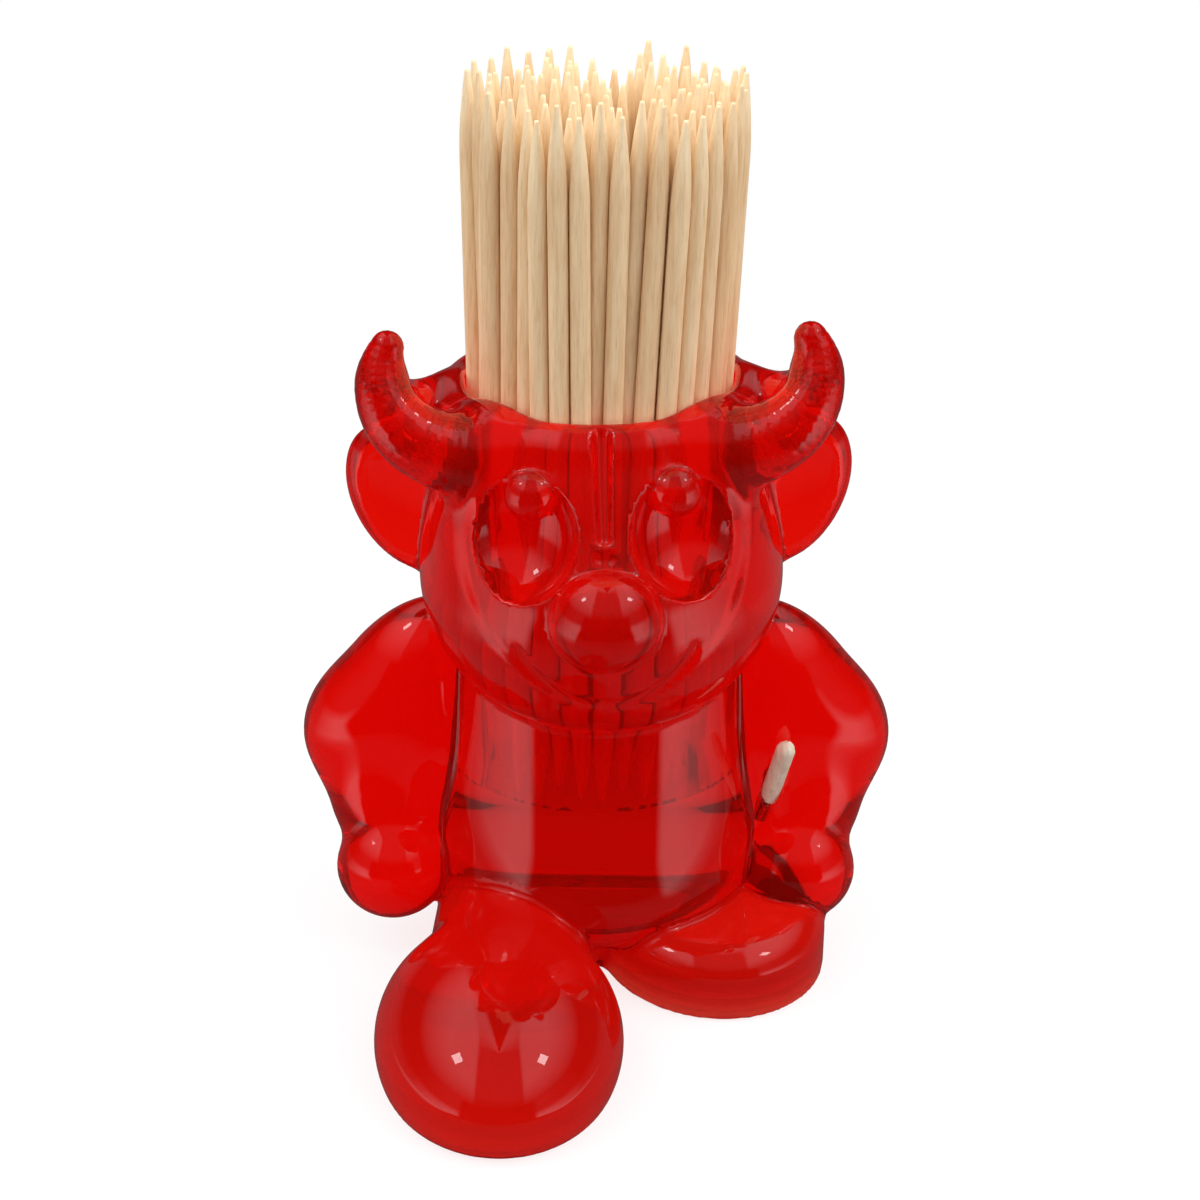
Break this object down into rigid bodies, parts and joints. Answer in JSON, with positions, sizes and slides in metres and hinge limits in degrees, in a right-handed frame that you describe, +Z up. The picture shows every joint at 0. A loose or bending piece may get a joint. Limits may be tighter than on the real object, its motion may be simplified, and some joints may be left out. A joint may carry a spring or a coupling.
{
  "type": "toothpick dispenser",
  "caption": "Clear red moulded horned imp figure whose open head is a cup of round wooden toothpicks; one broken pick stands in a small hole beside its arm.",
  "frame": {"origin": "on the table under the figure, at the middle of the torso, below the cup", "axes": "+Z up; the face looks along -Y; +X is on the right of someone facing the face"},
  "size_m": [0.0604, 0.0664, 0.092],
  "materials": {
    "red_plastic": "clear, polished",
    "pick_wood": "bare birch",
    "stub_wood": "bare, frayed"
  },
  "bodies": {
    "figure": {"figure_body": "red_plastic"},
    "bunch": {"toothpick_01": "pick_wood", "toothpick_03": "pick_wood", "toothpick_04": "pick_wood", "toothpick_05": "pick_wood", "toothpick_07": "pick_wood", "toothpick_08": "pick_wood", "toothpick_10": "pick_wood", "toothpick_11": "pick_wood", "toothpick_12": "pick_wood", "toothpick_13": "pick_wood", "toothpick_14": "pick_wood", "toothpick_15": "pick_wood", "toothpick_16": "pick_wood", "toothpick_17": "pick_wood", "toothpick_18": "pick_wood", "toothpick_20": "pick_wood", "toothpick_21": "pick_wood", "toothpick_23": "pick_wood", "toothpick_24": "pick_wood", "toothpick_25": "pick_wood", "toothpick_26": "pick_wood", "toothpick_27": "pick_wood", "toothpick_29": "pick_wood", "toothpick_30": "pick_wood", "toothpick_31": "pick_wood", "toothpick_33": "pick_wood", "toothpick_34": "pick_wood", "toothpick_36": "pick_wood", "toothpick_37": "pick_wood", "toothpick_38": "pick_wood", "toothpick_39": "pick_wood", "toothpick_41": "pick_wood", "toothpick_42": "pick_wood", "toothpick_43": "pick_wood", "toothpick_45": "pick_wood", "toothpick_46": "pick_wood", "toothpick_47": "pick_wood", "toothpick_49": "pick_wood", "toothpick_50": "pick_wood", "toothpick_51": "pick_wood", "toothpick_52": "pick_wood", "toothpick_54": "pick_wood", "toothpick_55": "pick_wood", "toothpick_56": "pick_wood", "toothpicks_inner": "pick_wood"},
    "pick_01": {"toothpick_02": "pick_wood"},
    "pick_02": {"toothpick_06": "pick_wood"},
    "pick_03": {"toothpick_09": "pick_wood"},
    "pick_04": {"toothpick_19": "pick_wood"},
    "pick_05": {"toothpick_22": "pick_wood"},
    "pick_06": {"toothpick_28": "pick_wood"},
    "pick_07": {"toothpick_32": "pick_wood"},
    "pick_08": {"toothpick_35": "pick_wood"},
    "pick_09": {"toothpick_40": "pick_wood"},
    "pick_10": {"toothpick_44": "pick_wood"},
    "pick_11": {"toothpick_48": "pick_wood"},
    "pick_12": {"toothpick_53": "pick_wood"},
    "stub": {"hand_stub": "stub_wood"}
  },
  "joints": [
    {"name": "bunch_lift", "type": "slide", "parent": "figure", "child": "bunch", "axis": [0, 0, 1], "range_m": [0, 0.045]},
    {"name": "draw_01", "type": "slide", "parent": "bunch", "child": "pick_01", "axis": [-0.007, -0.0135, 0.9999], "range_m": [0, 0.042]},
    {"name": "draw_02", "type": "slide", "parent": "bunch", "child": "pick_02", "axis": [-0.012, -0.013, 0.9998], "range_m": [0, 0.042]},
    {"name": "draw_03", "type": "slide", "parent": "bunch", "child": "pick_03", "axis": [-0.0241, -0.0268, 0.9994], "range_m": [0, 0.042]},
    {"name": "draw_04", "type": "slide", "parent": "bunch", "child": "pick_04", "axis": [0.0342, -0.0211, 0.9992], "range_m": [0, 0.042]},
    {"name": "draw_05", "type": "slide", "parent": "bunch", "child": "pick_05", "axis": [0.032, -0.0169, 0.9993], "range_m": [0, 0.042]},
    {"name": "draw_06", "type": "slide", "parent": "bunch", "child": "pick_06", "axis": [0.0357, -0.0004, 0.9994], "range_m": [0, 0.042]},
    {"name": "draw_07", "type": "slide", "parent": "bunch", "child": "pick_07", "axis": [0.0481, 0.0073, 0.9988], "range_m": [0, 0.042]},
    {"name": "draw_08", "type": "slide", "parent": "bunch", "child": "pick_08", "axis": [0.036, 0.0188, 0.9992], "range_m": [0, 0.042]},
    {"name": "draw_09", "type": "slide", "parent": "bunch", "child": "pick_09", "axis": [0.0251, 0.016, 0.9996], "range_m": [0, 0.042]},
    {"name": "draw_10", "type": "slide", "parent": "bunch", "child": "pick_10", "axis": [0, 0.0288, 0.9996], "range_m": [0, 0.042]},
    {"name": "draw_11", "type": "slide", "parent": "bunch", "child": "pick_11", "axis": [-0.0273, 0.0136, 0.9995], "range_m": [0, 0.042]},
    {"name": "draw_12", "type": "slide", "parent": "bunch", "child": "pick_12", "axis": [-0.0407, -0.0071, 0.9991], "range_m": [0, 0.042]},
    {"name": "stub_pull", "type": "slide", "parent": "figure", "child": "stub", "axis": [0.1564, -0.4067, 0.9001], "range_m": [0, 0.012]}
  ]
}
